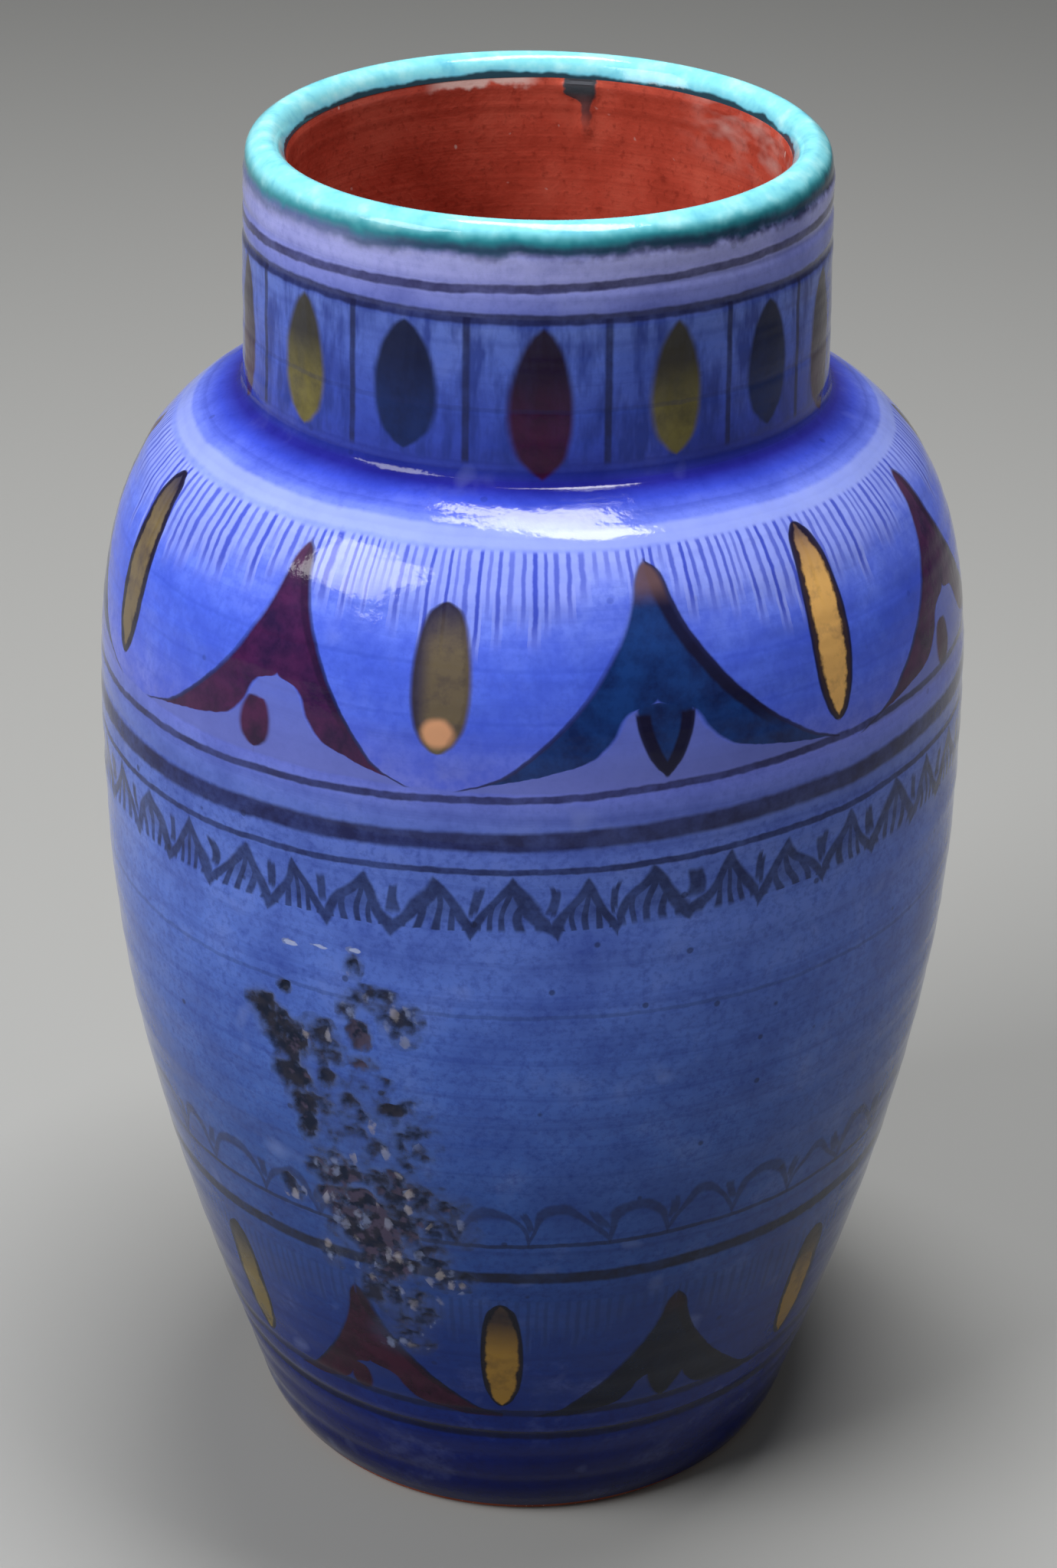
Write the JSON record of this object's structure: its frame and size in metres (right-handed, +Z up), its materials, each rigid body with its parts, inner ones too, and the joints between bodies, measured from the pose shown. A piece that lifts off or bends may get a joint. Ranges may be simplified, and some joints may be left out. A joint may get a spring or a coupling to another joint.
{
  "type": "baluster vase",
  "caption": "Footed earthenware vase with a full belly, sloping shoulder and wide upright neck, blue painted glaze outside, turquoise lip and clear lining inside.",
  "frame": {"origin": "centre of the flat ring that the foot stands on", "axes": "+Z up along the turning axis; -Y is the side that the picture shows"},
  "size_m": [0.1684, 0.1684, 0.2735],
  "materials": {
    "terracotta": "bare fired red clay, matt",
    "luting_slip": "fired slip, matt",
    "cobalt_glaze": "glossy painted glaze",
    "turquoise_glaze": "glossy opaque glaze",
    "clear_lining": "thin satin glaze over red clay"
  },
  "bodies": {
    "root": {"lower_body": "terracotta", "upper_body": "terracotta", "neck_collar": "terracotta", "belly_slip": "luting_slip", "neck_slip": "luting_slip", "lower_glaze": "cobalt_glaze", "shoulder_glaze": "cobalt_glaze", "neck_glaze": "cobalt_glaze", "rim_glaze": "turquoise_glaze", "inner_glaze": "clear_lining"}
  },
  "joints": []
}
